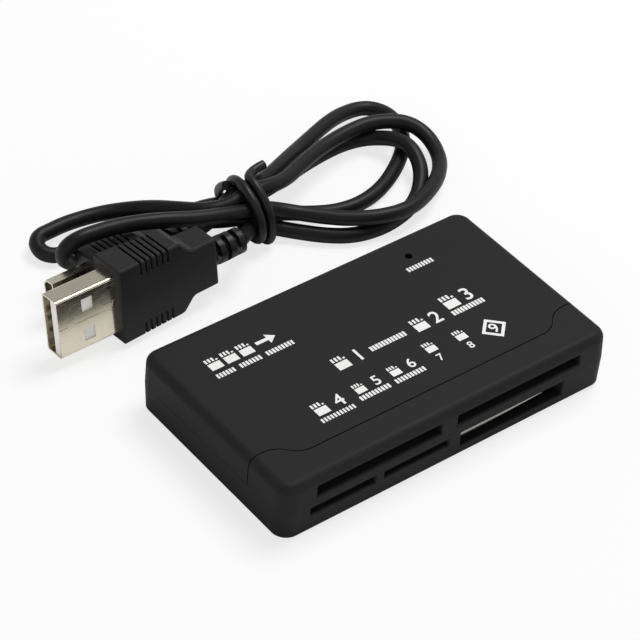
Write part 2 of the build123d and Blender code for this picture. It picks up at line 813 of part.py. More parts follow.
def plug_insulator():
    """Tongue along the near side of the shell and the block that fills the shell behind it."""
    near = sheet_gauge - plug_shell_thickness / 2
    inside = along_plug(plug_section(sheet_gauge), plug_tongue_setback, plug_seat_end)
    room = block((-far, plug_tongue_root), (near + plug_tongue_thickness, far), (-far, far))
    return plug_place(large_plug) * (inside - room)


def plug_contacts():
    face = sheet_gauge - plug_shell_thickness / 2 + plug_tongue_thickness
    strips = []
    for place in plug_contact_offsets:
        strips.append(block((plug_tongue_setback + plug_contact_setback, plug_tongue_root),
                            (face, face + plug_contact_gauge), around(place, plug_contact_width)))
    return plug_place(large_plug) * Compound(strips)


def plug_moulding():
    pocket = along_plug(plug_section(0), 0, plug_seat_end)
    return plug_place(large_plug) * moulding(large_plug, pocket)


def mini_plug_section(inset):
    """Outline of the small plug's shell: one long side is shorter, with bevelled corners."""
    half = mini_plug_shell_height / 2
    deep = mini_plug_shell_thickness / 2
    bevel = mini_plug_shell_bevel
    face = make_face(Polyline((-deep, -half), (deep - bevel, -half), (deep, bevel - half),
                              (deep, half - bevel), (deep - bevel, half), (-deep, half), close=True))
    return offset(face, amount=-inset) if inset else face


def mini_plug_shell():
    tube = along_plug(mini_plug_section(0), 0, mini_plug_seat_end)
    return plug_place(small_plug) * (tube - along_plug(mini_plug_section(sheet_gauge), 0, mini_plug_seat_end))


def mini_plug_core():
    core = along_plug(mini_plug_section(sheet_gauge), mini_plug_core_setback, mini_plug_seat_end)
    near = sheet_gauge - mini_plug_shell_thickness / 2
    recess = block((-far, mini_plug_shell_exposed), (-far, near + mini_plug_recess_depth),
                   around(0, mini_plug_recess_width))
    return plug_place(small_plug) * (core - recess)


def mini_plug_contacts():
    face = sheet_gauge - mini_plug_shell_thickness / 2 + mini_plug_recess_depth
    first = -(mini_contact_count - 1) * mini_contact_pitch / 2
    strips = []
    for i in range(mini_contact_count):
        strips.append(block((mini_plug_core_setback, mini_plug_shell_exposed), (face - contact_gauge, face),
                            around(first + i * mini_contact_pitch, mini_contact_width)))
    return plug_place(small_plug) * Compound(strips)


def mini_plug_moulding():
    pocket = along_plug(mini_plug_section(0), 0, mini_plug_seat_end)
    return plug_place(small_plug) * moulding(small_plug, pocket)


def cord_tail(plug, route, hank):
    """Tube from the end of a strain relief to the waist of the hank."""
    relief_end = plug_place(plug) * Pos(neck_end(plug) + plug.relief_length, 0, 0)
    start = (relief_end * Pos(-cord_radius, 0, 0)).position
    points = [start, *[Vector(*point) for point in route]]
    runs = [b - a for a, b in zip(points, points[1:])]
    radii = []
    for before, after in zip(runs, runs[1:]):
        half_turn = math.radians(before.get_angle(after)) / 2
        radii.append(bend_share * min(before.length, after.length) / math.tan(half_turn))
    path = FilletPolyline(*points, radius=radii)
    tube = sweep((path ^ 0) * Circle(cord_radius), path)
    print("cord radii", [round(r, 1) for r in radii], "tube", round(tube.volume, 2),
          "section times length", round(math.pi * cord_radius ** 2 * path.length, 2))
    return tube - relief_end * block((-far, 0), (-far, far), (-far, far)) - hank


waist_place = Pos(waist_x, waist_y, waist_z) * Rot(0, 0, waist_yaw)


def hull_prism(discs, height):
    """Upright prism over the hull of some discs, each given by its centre and radius."""
    edges = []
    for x, y, radius in discs:
        edges += (Pos(x, y) * Circle(radius)).edges()
    return extrude(make_hull(edges), amount=height)


def lead_hank():
    """Outer shape of the tied hank: open loops to the right, a waist, and two folds to the left."""
    right = hull_prism(right_loops, right_loops_height) - hull_prism(right_eye, right_loops_height)
    waist = waist_place * lying_rod(waist_radius, *around(0, waist_length))
    lying = hull_prism(left_loop, left_loop_height)
    link = hull_prism(left_link, left_link_height)
    standing = hull_prism(standing_loop, standing_loop_height)
    return right + waist + lying + link + standing


def twist_tie():
    """Two turns of coated wire round the waist, with the bent free end on top."""
    ring_radius = waist_radius + tie_radius
    wire = RegularPolygon(tie_radius, tie_sides)
    turns = [revolve(Plane((x, 0, ring_radius), x_dir=(1, 0, 0), z_dir=(0, -1, 0)) * wire, Axis.X)
             for x in tie_places]
    start, last = tie_places
    end = FilletPolyline((start - tie_radius / 2, 0, ring_radius), (last + tie_radius / 2, 0, ring_radius),
                         (last + tie_end_reach, tie_end_reach, ring_radius + tie_end_rise),
                         radius=tie_radius)
    free_end = sweep((end ^ 0) * RegularPolygon(tie_end_radius, tie_sides), end)
    return waist_place * (turns[0] + turns[1] + free_end)


hank = lead_hank()
pieces = {
    "bottom_case": bottom_case(),
    "top_cover": top_cover(),
    "circuit_board": circuit_board(),
    "full_card_socket": socket_frame(full_slot),
    "full_card_contacts": socket_contacts(full_slot),
    "full_card_shield": socket_shield(full_slot, 0),
    "picture_card_socket": socket_frame(picture_slot),
    "picture_card_contacts": socket_contacts(picture_slot),
    "picture_card_shield": socket_shield(picture_slot, 0),
    "micro_card_socket": socket_frame(micro_slot),
    "micro_card_contacts": socket_contacts(micro_slot),
    "micro_card_shield": socket_shield(micro_slot, 0),
    "tiny_card_socket": socket_frame(tiny_slot),
    "tiny_card_contacts": socket_contacts(tiny_slot),
    "tiny_card_shield": socket_shield(tiny_slot, 0),
    "stick_card_socket": socket_frame(stick_slot),
    "stick_card_contacts": socket_contacts(stick_slot),
    "stick_card_shield": stick_card_shield(),
    "pin_card_socket": pin_card_socket(),
    "pin_card_pins": pin_card_pins(),
    "mini_socket_shell": mini_socket_shell(),
    "mini_socket_tongue": mini_socket_tongue(),
    "mini_socket_contacts": mini_socket_contacts(),
    "indicator_led": indicator_led(),
    "controller_chip": controller_chip(),
    "chip_leads": chip_leads(),
    "crystal": crystal(),
    "regulator": regulator(),
    "bulk_capacitor": bulk_capacitor(),
    "capacitors": capacitors(),
    "resistors": resistors(),
    "plug_shell": plug_shell(),
    "plug_insulator": plug_insulator(),
    "plug_contacts": plug_contacts(),
    "plug_moulding": plug_moulding(),
    "mini_plug_shell": mini_plug_shell(),
    "mini_plug_core": mini_plug_core(),
    "mini_plug_contacts": mini_plug_contacts(),
    "mini_plug_moulding": mini_plug_moulding(),
    "lead_tail": cord_tail(large_plug, plug_tail_route, hank),
    "lead_tail_mini": cord_tail(small_plug, mini_tail_route, hank),
    "lead_hank": hank,
    "twist_tie": twist_tie(),
}

os.makedirs("parts", exist_ok=True)
for name, shape in pieces.items():
    export_step(shape, f"parts/{name}.step")
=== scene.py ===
import json
import math
from collections import namedtuple

import bpy
from bpy.props import FloatProperty, FloatVectorProperty, IntProperty, PointerProperty
from mathutils import Matrix, Vector


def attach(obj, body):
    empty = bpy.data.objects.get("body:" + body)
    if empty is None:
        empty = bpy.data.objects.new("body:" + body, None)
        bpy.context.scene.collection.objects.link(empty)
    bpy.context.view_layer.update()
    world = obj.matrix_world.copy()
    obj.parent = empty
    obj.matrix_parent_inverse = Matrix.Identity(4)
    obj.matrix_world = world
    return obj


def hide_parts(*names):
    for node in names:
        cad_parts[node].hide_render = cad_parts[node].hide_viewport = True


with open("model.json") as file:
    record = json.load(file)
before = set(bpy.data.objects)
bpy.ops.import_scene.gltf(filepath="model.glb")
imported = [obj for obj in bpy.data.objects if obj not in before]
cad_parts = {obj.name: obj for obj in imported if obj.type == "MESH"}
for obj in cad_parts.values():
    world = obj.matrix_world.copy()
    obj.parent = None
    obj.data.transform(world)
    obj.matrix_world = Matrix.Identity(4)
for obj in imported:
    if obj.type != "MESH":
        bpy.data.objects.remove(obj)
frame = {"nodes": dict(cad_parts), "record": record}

bl_info = {
    "name": "Memory card reader",
    "version": (1, 0, 0),
    "blender": (4, 5, 0),
    "location": "View3D > Sidebar > Card reader",
    "description": "Finishes, print, lead and studio for a memory card reader",
    "category": "Object",
}

MM = 0.001
BODY = "root"
TUBE_ROUNDNESS = 5
WIRE_SIDES = 14
EDGE_SAMPLES = 6
BUMP_STRENGTH = 0.5
ROUGHNESS_SPAN = (0.85, 1.15)

# Middle line of the cord in millimetres, from the large plug's strain relief to the small plug's.
# It goes through the tie six times, with three loops to the right and two to the left.
CORD_ROUTE = [
    (-1.01, 39.39, 8.3), (1.5, 41.5, 6.8), (4.41, 43.81, 5.09), (7.41, 45.51, 3.79), (10.02, 45.12, 2.78),
    (12.42, 43.63, 1.97), (14.93, 41.33, 1.66), (17.93, 38.34, 1.58), (21.44, 35.74, 1.57),
    (25.34, 34.34, 1.57), (30.53, 34.04, 1.57), (36.13, 35.34, 1.58), (40.41, 37.93, 1.59),
    (43.5, 40.81, 2.5), (45.18, 43.69, 3.73), (45.86, 47.27, 4.76), (45.56, 50.96, 4.48),
    (43.98, 54.88, 3.01), (41.3, 57.4, 2.17), (36.12, 58.13, 2.15), (27.84, 57.05, 2.23),
    (19.95, 54.06, 3.62), (11.34, 51.77, 4.68), (7.14, 52.18, 4.77), (3.89, 53.92, 4.79),
    (-0.65, 54.95, 4.7), (-6.05, 55.64, 3.24), (-11.95, 56.43, 1.9), (-17.84, 56.84, 1.7),
    (-22.84, 56.54, 1.97), (-26.64, 55.64, 3.66), (-29.34, 54.35, 6.36), (-30.34, 53.44, 9.06),
    (-29.44, 52.74, 11.26), (-27.05, 52.33, 12.17), (-22.76, 52.11, 11.99), (-18.97, 51.49, 11.8),
    (-14.69, 50.06, 11.73), (-10.01, 48.23, 11.35), (-5.14, 46.69, 10.38), (0.94, 45.84, 9.21),
    (6.93, 45.73, 7.62), (10.05, 45.78, 6.6), (12.86, 44.91, 5.48), (15.67, 43.03, 4.77),
    (19.38, 39.55, 4.55), (22.99, 36.46, 4.55), (27.99, 33.77, 4.64), (33.9, 32.88, 4.33),
    (39.8, 34.88, 3.82), (45.61, 38.39, 3.12), (49.81, 42.7, 2.41), (51.82, 47.0, 2.6), (52.12, 50.61, 3.4),
    (50.81, 53.4, 4.41), (48.21, 55.3, 5.13), (43.3, 57.09, 5.55), (38.0, 57.28, 5.44),
    (31.49, 56.07, 5.65), (24.38, 53.26, 6.76), (16.97, 49.64, 7.58), (10.76, 48.63, 9.2),
    (7.05, 48.83, 9.33), (3.13, 48.62, 8.39), (-1.0, 50.17, 8.06), (-3.89, 53.77, 7.31),
    (-6.07, 57.78, 5.96), (-8.04, 61.11, 4.51), (-10.81, 63.74, 3.47), (-13.89, 65.37, 3.03),
    (-17.67, 66.4, 2.8), (-21.45, 66.83, 2.77), (-24.53, 66.75, 2.65), (-26.97, 66.77, 2.53),
    (-28.66, 65.09, 2.31), (-28.65, 62.71, 1.89), (-26.94, 61.02, 1.68), (-24.37, 60.99, 1.58),
    (-19.96, 60.95, 1.57), (-13.75, 60.66, 1.63), (-7.24, 59.47, 1.54), (-1.12, 56.48, 1.52),
    (3.58, 52.47, 1.96), (7.38, 49.27, 3.18), (10.78, 48.49, 3.04), (14.88, 47.3, 2.37),
    (19.38, 44.99, 1.69), (24.08, 42.69, 1.52), (29.28, 41.89, 1.52), (35.38, 43.19, 1.52),
    (41.38, 46.39, 1.6), (46.38, 50.18, 1.52), (49.86, 54.36, 1.55), (51.24, 58.64, 1.76),
    (51.21, 62.41, 1.68), (49.29, 65.19, 1.66), (45.97, 65.96, 1.95), (39.84, 64.73, 2.98),
    (30.32, 60.71, 3.83), (21.6, 55.99, 6.08), (14.89, 52.37, 7.48), (10.49, 51.47, 8.06),
    (7.19, 51.65, 8.06), (4.41, 51.06, 6.81), (1.78, 50.86, 5.46), (-1.17, 49.92, 4.87),
    (-4.2, 48.86, 5.55),
]
# Middle line of the tie's wire in millimetres: its free end, two turns round the bundle, and its tail
TIE_ROUTE = [
    (13.6, 51.9, 11.5), (11.96, 51.83, 11.44), (10.21, 51.45, 11.28), (8.66, 50.16, 11.62),
    (8.48, 47.36, 11.69), (8.69, 43.45, 8.69), (8.88, 42.31, 4.88), (8.66, 42.35, 1.98),
    (8.41, 44.04, 0.92), (9.17, 48.29, 0.92), (9.37, 51.85, 0.92), (8.81, 54.3, 3.26), (7.9, 54.88, 6.47),
    (7.3, 53.53, 9.78), (6.71, 50.43, 11.57), (6.24, 46.83, 11.52), (6.18, 43.47, 9.33),
    (6.32, 41.71, 5.14), (6.62, 43.24, 2.06), (7.03, 46.4, 0.92), (7.63, 52.02, 0.92), (6.78, 55.43, 3.12),
    (6.09, 55.91, 5.82), (5.41, 54.09, 8.53), (5.14, 52.18, 10.03),
]

# Printed pictograms in millimetres on the cover: places and heights of cards and numbers, and rows of
# bars with the place of the first, how many, their pitch and their height
CARD_MARKS = [
    (-26.9, 11.4, 3.0), (-23.6, 11.4, 3.0), (-20.3, 11.4, 3.0), (-8.6, -0.7, 3.2), (8.9, -0.5, 3.2),
    (17.2, 1.3, 3.4), (-18.6, -7.9, 3.0), (-10.0, -7.6, 2.4), (-2.3, -7.5, 2.4), (6.6, -6.2, 2.5),
    (13.0, -6.7, 2.5),
]
NUMBER_MARKS = [
    (-4.9, -0.7, 3.0, "1"), (12.5, -0.5, 3.0, "2"), (21.0, 1.3, 3.2, "3"), (-14.7, -7.9, 2.8, "4"),
    (-6.4, -7.6, 2.3, "5"), (1.3, -7.5, 2.3, "6"), (6.6, -9.2, 1.7, "7"), (13.0, -9.7, 1.7, "8"),
    (19.2, -8.6, 2.4, "9"),
]
BAR_ROWS = [
    (-28.2, 8.3, 6, 0.66, 1.1), (-23.3, 8.3, 7, 0.66, 1.1), (-17.7, 8.3, 9, 0.66, 1.1),
    (-2.1, -0.9, 12, 0.66, 1.2), (15.8, -1.6, 11, 0.66, 1.2), (-20.1, -10.6, 11, 0.66, 1.0),
    (-11.3, -9.9, 10, 0.66, 1.1), (-3.6, -9.9, 10, 0.66, 1.1), (16.5, 12.1, 9, 0.66, 1.1),
]
ARROW_MARK = (-15.9, 11.4)
FRAME_MARK = (19.2, -8.6)

# Colours are linear. Grain, depth, mottle and edge are sizes in millimetres; spread is how far the colour
# varies, and scratch is what a scratch adds to the roughness.
Finish = namedtuple("Finish", "colour roughness metallic specular grain depth mottle spread scratch edge",
                    defaults=(0.0,))
FINISHES = {
    "case_black": Finish((0.0165, 0.0165, 0.0175), 0.55, 0.0, 0.10, 0.16, 0.010, 9.0, 0.12, 0.05),
    "socket_black": Finish((0.010, 0.010, 0.011), 0.52, 0.0, 0.30, 0.30, 0.008, 5.0, 0.20, 0.0),
    "board_green": Finish((0.012, 0.095, 0.035), 0.38, 0.0, 0.45, 0.50, 0.006, 4.0, 0.30, 0.0),
    "contact_gold": Finish((0.830, 0.600, 0.240), 0.24, 1.0, 0.50, 0.20, 0.003, 2.0, 0.20, 0.10),
    "shield_steel": Finish((0.700, 0.690, 0.640), 0.30, 1.0, 0.50, 0.25, 0.004, 5.0, 0.20, 0.20),
    "lamp_clear": Finish((0.420, 0.480, 0.420), 0.16, 0.0, 0.50, 0.40, 0.002, 2.0, 0.10, 0.0),
    "chip_black": Finish((0.016, 0.016, 0.017), 0.62, 0.0, 0.40, 0.12, 0.010, 3.0, 0.25, 0.0),
    "tinned": Finish((0.690, 0.690, 0.670), 0.33, 1.0, 0.50, 0.20, 0.004, 2.0, 0.25, 0.10),
    "capacitor_amber": Finish((0.560, 0.270, 0.050), 0.45, 0.0, 0.45, 0.20, 0.006, 2.0, 0.25, 0.0),
    "capacitor_tan": Finish((0.430, 0.300, 0.190), 0.50, 0.0, 0.45, 0.20, 0.006, 1.0, 0.25, 0.0),
    "plug_nickel": Finish((0.750, 0.700, 0.560), 0.20, 1.0, 0.50, 0.30, 0.003, 6.0, 0.16, 0.22),
    "insulator_white": Finish((0.930, 0.925, 0.910), 0.45, 0.0, 0.45, 0.30, 0.004, 4.0, 0.10, 0.0),
    "moulding_black": Finish((0.011, 0.011, 0.0115), 0.40, 0.0, 0.22, 0.22, 0.008, 5.0, 0.25, 0.06, 0.22),
    "cord_black": Finish((0.009, 0.009, 0.0095), 0.44, 0.0, 0.20, 0.60, 0.006, 12.0, 0.25, 0.05),
    "tie_black": Finish((0.008, 0.008, 0.009), 0.42, 0.0, 0.30, 0.40, 0.006, 4.0, 0.20, 0.0),
    "print_white": Finish((0.820, 0.820, 0.810), 0.50, 0.0, 0.40, 0.10, 0.003, 3.0, 0.08, 0.0),
}


class FinishSettings(bpy.types.PropertyGroup):
    """Colours that the whole reader shares."""
    case_colour: FloatVectorProperty(
        name="Case colour", description="Colour of the moulded shells", subtype="COLOR",
        size=3, min=0.0, max=1.0, default=FINISHES["case_black"].colour)
    metal_colour: FloatVectorProperty(
        name="Plug metal colour", description="Colour of the plugs' nickel plating", subtype="COLOR",
        size=3, min=0.0, max=1.0, default=FINISHES["plug_nickel"].colour)
    cord_colour: FloatVectorProperty(
        name="Cord colour", description="Colour of the cord's sheath", subtype="COLOR",
        size=3, min=0.0, max=1.0, default=FINISHES["cord_black"].colour)
    print_colour: FloatVectorProperty(
        name="Print colour", description="Colour of the printed pictograms", subtype="COLOR",
        size=3, min=0.0, max=1.0, default=FINISHES["print_white"].colour)


class LeadSettings(bpy.types.PropertyGroup):
    """Sizes of the lead and its tie."""
    cord_diameter: FloatProperty(
        name="Cord diameter", description="Outside diameter of the cord's sheath", unit="LENGTH",
        default=3.0 * MM)
    cord_steps: IntProperty(
        name="Cord steps", description="Steps along the cord between two points of its route",
        default=8, min=2, max=24)
    tie_diameter: FloatProperty(
        name="Tie wire diameter", description="Thickness of the coated wire of the tie", unit="LENGTH",
        default=1.8 * MM)


class PrintSettings(bpy.types.PropertyGroup):
    """Sizes of the printed pictograms."""
    ink_height: FloatProperty(
        name="Ink height", description="How far the print stands on the moulding", unit="LENGTH",
        default=0.02 * MM)
    line_width: FloatProperty(
        name="Line width", description="Width of the frame's line", unit="LENGTH", default=0.6 * MM)
    frame_side: FloatProperty(
        name="Frame side", description="Side of the frame round the last number", unit="LENGTH",
        default=3.9 * MM)
    frame_turn: FloatProperty(
        name="Frame turn", description="Turn of the frame on the cover", subtype="ANGLE",
        default=math.radians(45.0))
    arrow_length: FloatProperty(
        name="Arrow length", description="Length of the insert arrow", unit="LENGTH", default=4.2 * MM)


class StageSettings(bpy.types.PropertyGroup):
    """Light and camera of the studio."""
    key_power: FloatProperty(
        name="Key power", description="Power of the large overhead light", unit="POWER", default=8.5)
    fill_power: FloatProperty(
        name="Fill power", description="Power of the light from the front left", unit="POWER", default=0.8)
    lens: FloatProperty(
        name="Lens", description="Focal length of the camera", unit="CAMERA", default=155.44)


def new_socket(tree, name, kind, direction, default=None):
    """Adds a named socket to a node group and returns it."""
    socket = tree.interface.new_socket(name=name, in_out=direction, socket_type=kind)
    if default is not None:
        socket.default_value = default
    return socket


def add_node(tree, kind, *links, **values):
    """Adds a node, sets its properties, and links (input, output socket) pairs or plain input values."""
    node = tree.nodes.new(kind)
    for name, value in values.items():
        setattr(node, name, value)
    for name, source in links:
        if isinstance(source, bpy.types.NodeSocket):
            tree.links.new(source, node.inputs[name])
        else:
            node.inputs[name].default_value = source
    return node


def surface_grain_group():
    """Group: fine moulded grain, cloudy mottle and stretched scratches, at sizes given per material."""
    name = "surface_grain"
    if name in bpy.data.node_groups:
        return bpy.data.node_groups[name]
    tree = bpy.data.node_groups.new(name, "ShaderNodeTree")
    new_socket(tree, "Place", "NodeSocketVector", "INPUT")
    new_socket(tree, "Grain scale", "NodeSocketFloat", "INPUT", 5000.0)
    new_socket(tree, "Mottle scale", "NodeSocketFloat", "INPUT", 120.0)
    for output in ("Grain", "Mottle", "Scratch"):
        new_socket(tree, output, "NodeSocketFloat", "OUTPUT")
    source = add_node(tree, "NodeGroupInput").outputs
    grain = add_node(tree, "ShaderNodeTexNoise", ("Vector", source["Place"]),
                     ("Scale", source["Grain scale"]), ("Detail", 3.0), ("Roughness", 0.6))
    mottle = add_node(tree, "ShaderNodeTexNoise", ("Vector", source["Place"]),
                      ("Scale", source["Mottle scale"]), ("Detail", 4.0), ("Roughness", 0.55))
    stretched = add_node(tree, "ShaderNodeMapping", ("Vector", source["Place"]),
                         ("Rotation", (0.3, 0.2, 0.5)), ("Scale", (300.0, 9000.0, 9000.0)))
    streak = add_node(tree, "ShaderNodeTexNoise", ("Vector", stretched.outputs["Vector"]),
                      ("Scale", 1.0), ("Detail", 2.0))
    scratch = add_node(tree, "ShaderNodeMapRange", ("Value", streak.outputs["Fac"]),
                       ("From Min", 0.60), ("From Max", 0.75))
    sink = add_node(tree, "NodeGroupOutput")
    tree.links.new(grain.outputs["Fac"], sink.inputs["Grain"])
    tree.links.new(mottle.outputs["Fac"], sink.inputs["Mottle"])
    tree.links.new(scratch.outputs["Result"], sink.inputs["Scratch"])
    return tree


def finish_material(slot, colour=None):
    """Material of one finish: mottled colour, roughness with scratches, and a grain in the normal."""
    name = "finish_" + slot
    if name in bpy.data.materials:
        return bpy.data.materials[name]
    finish = FINISHES[slot]
    base = Vector(colour or finish.colour)
    material = bpy.data.materials.new(name)
    material.use_nodes = True
    tree = material.node_tree
    tree.nodes.clear()
    place = add_node(tree, "ShaderNodeTexCoord").outputs["Object"]
    grain = add_node(tree, "ShaderNodeGroup", node_tree=surface_grain_group())
    tree.links.new(place, grain.inputs["Place"])
    grain.inputs["Grain scale"].default_value = 1.0 / (finish.grain * MM)
    grain.inputs["Mottle scale"].default_value = 1.0 / (finish.mottle * MM)
    tint = add_node(tree, "ShaderNodeMix", ("Factor", grain.outputs["Mottle"]), data_type="RGBA")
    tint.inputs["A"].default_value = (*(base * (1.0 - finish.spread)), 1.0)
    tint.inputs["B"].default_value = (*(base * (1.0 + finish.spread)), 1.0)
    worn = add_node(tree, "ShaderNodeMath", (0, grain.outputs["Scratch"]), (1, finish.scratch),
                    operation="MULTIPLY")
    rough = add_node(tree, "ShaderNodeMapRange", ("Value", grain.outputs["Mottle"]),
                     ("To Min", finish.roughness * ROUGHNESS_SPAN[0]),
                     ("To Max", finish.roughness * ROUGHNESS_SPAN[1]))
    rough_worn = add_node(tree, "ShaderNodeMath", (0, rough.outputs["Result"]), (1, worn.outputs["Value"]),
                          operation="ADD")
    bump = add_node(tree, "ShaderNodeBump", ("Height", grain.outputs["Grain"]),
                    ("Strength", BUMP_STRENGTH), ("Distance", finish.depth * MM))
    if finish.edge:
        edge = add_node(tree, "ShaderNodeBevel", ("Radius", finish.edge * MM),
                        samples=EDGE_SAMPLES)
        tree.links.new(edge.outputs["Normal"], bump.inputs["Normal"])
    shader = add_node(tree, "ShaderNodeBsdfPrincipled", ("Base Color", tint.outputs["Result"]),
                      ("Roughness", rough_worn.outputs["Value"]), ("Normal", bump.outputs["Normal"]),
                      ("Metallic", finish.metallic), ("Specular IOR Level", finish.specular))
    output = add_node(tree, "ShaderNodeOutputMaterial")
    tree.links.new(shader.outputs["BSDF"], output.inputs["Surface"])
    return material


def dress(node, material):
    """Gives a CAD node its finish."""
    mesh = frame["nodes"][node].data
    mesh.materials.clear()
    mesh.materials.append(material)


def keep_piece(obj):
    """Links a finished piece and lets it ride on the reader."""
    if obj.name not in bpy.context.scene.collection.objects:
        bpy.context.scene.collection.objects.link(obj)
    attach(obj, BODY)
    return obj


def nurbs_curve(name, points, diameter, steps):
    """Round tube along one open NURBS spline through listed points in millimetres."""
    curve = bpy.data.curves.new(name, "CURVE")
    curve.dimensions = "3D"
    curve.bevel_depth = diameter / 2
    curve.bevel_resolution = TUBE_ROUNDNESS
    curve.use_fill_caps = True
    curve.resolution_u = steps
    spline = curve.splines.new("NURBS")
    spline.points.add(len(points) - 1)
    for point, place in zip(spline.points, points):
        point.co = (*(Vector(place) * MM), 1.0)
    spline.order_u = 3
    spline.use_endpoint_u = True
    spline.resolution_u = steps
    return bpy.data.objects.new(name, curve)


def wire_group():
    """Geometry group: round wire along a path."""
    tree = bpy.data.node_groups.new("wire_on_path", "GeometryNodeTree")
    new_socket(tree, "Path", "NodeSocketGeometry", "INPUT")
    new_socket(tree, "Diameter", "NodeSocketFloat", "INPUT", 0.001)
    new_socket(tree, "Finish", "NodeSocketMaterial", "INPUT")
    new_socket(tree, "Wire", "NodeSocketGeometry", "OUTPUT")
    source = add_node(tree, "NodeGroupInput").outputs
    radius = add_node(tree, "ShaderNodeMath", (0, source["Diameter"]), (1, 0.5), operation="MULTIPLY")
    profile = add_node(tree, "GeometryNodeCurvePrimitiveCircle", ("Resolution", WIRE_SIDES),
                       ("Radius", radius.outputs["Value"]))
    tube = add_node(tree, "GeometryNodeCurveToMesh", ("Curve", source["Path"]),
                    ("Profile Curve", profile.outputs["Curve"]), ("Fill Caps", True))
    smooth = add_node(tree, "GeometryNodeSetShadeSmooth", ("Geometry", tube.outputs["Mesh"]))
    whole = add_node(tree, "GeometryNodeRealizeInstances", ("Geometry", smooth.outputs["Geometry"]))
    dressed = add_node(tree, "GeometryNodeSetMaterial", ("Geometry", whole.outputs["Geometry"]),
                       ("Material", source["Finish"]))
    sink = add_node(tree, "NodeGroupOutput")
    tree.links.new(dressed.outputs["Geometry"], sink.inputs["Wire"])
    return tree


def repeat_group():
    """Geometry group: one pictogram on each point, scaled by the point's height."""
    name = "repeat_on_points"
    if name in bpy.data.node_groups:
        return bpy.data.node_groups[name]
    tree = bpy.data.node_groups.new(name, "GeometryNodeTree")
    new_socket(tree, "Points", "NodeSocketGeometry", "INPUT")
    new_socket(tree, "Pictogram", "NodeSocketObject", "INPUT")
    new_socket(tree, "Finish", "NodeSocketMaterial", "INPUT")
    new_socket(tree, "Print", "NodeSocketGeometry", "OUTPUT")
    source = add_node(tree, "NodeGroupInput").outputs
    mark = add_node(tree, "GeometryNodeObjectInfo", ("Object", source["Pictogram"]))
    height = add_node(tree, "GeometryNodeInputNamedAttribute", ("Name", "height"), data_type="FLOAT")
    copies = add_node(tree, "GeometryNodeInstanceOnPoints", ("Points", source["Points"]),
                      ("Instance", mark.outputs["Geometry"]), ("Scale", height.outputs["Attribute"]))
    whole = add_node(tree, "GeometryNodeRealizeInstances", ("Geometry", copies.outputs["Instances"]))
    dressed = add_node(tree, "GeometryNodeSetMaterial", ("Geometry", whole.outputs["Geometry"]),
                       ("Material", source["Finish"]))
    sink = add_node(tree, "NodeGroupOutput")
    tree.links.new(dressed.outputs["Geometry"], sink.inputs["Print"])
    return tree


def grown_piece(name, source, tree, inputs):
    """Mesh object that a geometry group makes from a source object, which is removed afterwards."""
    bpy.context.scene.collection.objects.link(source)
    modifier = source.modifiers.new(name, "NODES")
    modifier.node_group = tree
    for item in tree.interface.items_tree:
        if item.in_out == "INPUT" and item.name in inputs:
            modifier[item.identifier] = inputs[item.name]
    depsgraph = bpy.context.evaluated_depsgraph_get()
    mesh = bpy.data.meshes.new_from_object(source.evaluated_get(depsgraph), depsgraph=depsgraph)
    mesh.name = name
    bpy.data.objects.remove(source)
    return bpy.data.objects.new(name, mesh)


def flat_mesh(name, outlines):
    """Flat mesh with one face for each outline in the plane."""
    mesh = bpy.data.meshes.new(name)
    corners = [(x, y, 0.0) for outline in outlines for x, y in outline]
    faces = []
    for outline in outlines:
        first = sum(len(face) for face in faces)
        faces.append(range(first, first + len(outline)))
    mesh.from_pydata(corners, [], [list(face) for face in faces])
    return mesh


def rectangle(low_x, low_y, high_x, high_y):
    """Corners of a rectangle, anticlockwise."""
    return [(low_x, low_y), (high_x, low_y), (high_x, high_y), (low_x, high_y)]


def card_mesh():
    """Memory card of height 1: a solid body, with a row of contacts above it and one cut corner."""
    half = 0.42
    body_top, tooth_bottom, tooth_top, cut_top = 0.08, 0.18, 0.50, 0.30
    teeth = 4
    tooth_share = 0.6
    pitch = 2 * half / (teeth - 1 + tooth_share)
    outlines = [rectangle(-half, -0.5, half, body_top)]
    for i in range(teeth):
        low = -half + i * pitch
        high = cut_top if i == teeth - 1 else tooth_top
        outlines.append(rectangle(low, tooth_bottom, low + tooth_share * pitch, high))
    return flat_mesh("card_mark", outlines)


def bar_mesh():
    """Upright bar of height 1."""
    return flat_mesh("bar_mark", [rectangle(-0.2, -0.5, 0.2, 0.5)])


def arrow_mesh(length):
    """Arrow towards +X, centred on its length."""
    half = length / 2
    shaft_half, neck, head_half = 0.09 * length, 0.1 * length, 0.3 * length
    shaft = rectangle(-half, -shaft_half, neck, shaft_half)
    head = [(neck, -head_half), (half, 0.0), (neck, head_half)]
    return flat_mesh("arrow_mark", [shaft, head])


def frame_mesh(side, line):
    """Square frame of a given line width."""
    out = side / 2
    inner = out - line
    return flat_mesh("frame_mark", [
        rectangle(-out, -out, out, -inner), rectangle(-out, inner, out, out),
        rectangle(-out, -inner, -inner, inner), rectangle(inner, -inner, out, inner)])


def number_mesh(text, height):
    """Plain number of a given height, a little bold, centred on the origin."""
    boldness = 0.012
    curve = bpy.data.curves.new("number_" + text, "FONT")
    curve.body = text
    curve.offset = boldness
    writing = bpy.data.objects.new("number_" + text, curve)
    bpy.context.scene.collection.objects.link(writing)
    depsgraph = bpy.context.evaluated_depsgraph_get()
    mesh = bpy.data.meshes.new_from_object(writing.evaluated_get(depsgraph), depsgraph=depsgraph)
    bpy.data.objects.remove(writing)
    low = Vector([min(v.co[axis] for v in mesh.vertices) for axis in range(3)])
    high = Vector([max(v.co[axis] for v in mesh.vertices) for axis in range(3)])
    centre = (low + high) / 2
    mesh.transform(Matrix.Scale(height / (high.y - low.y), 4) @ Matrix.Translation(-centre))
    return mesh


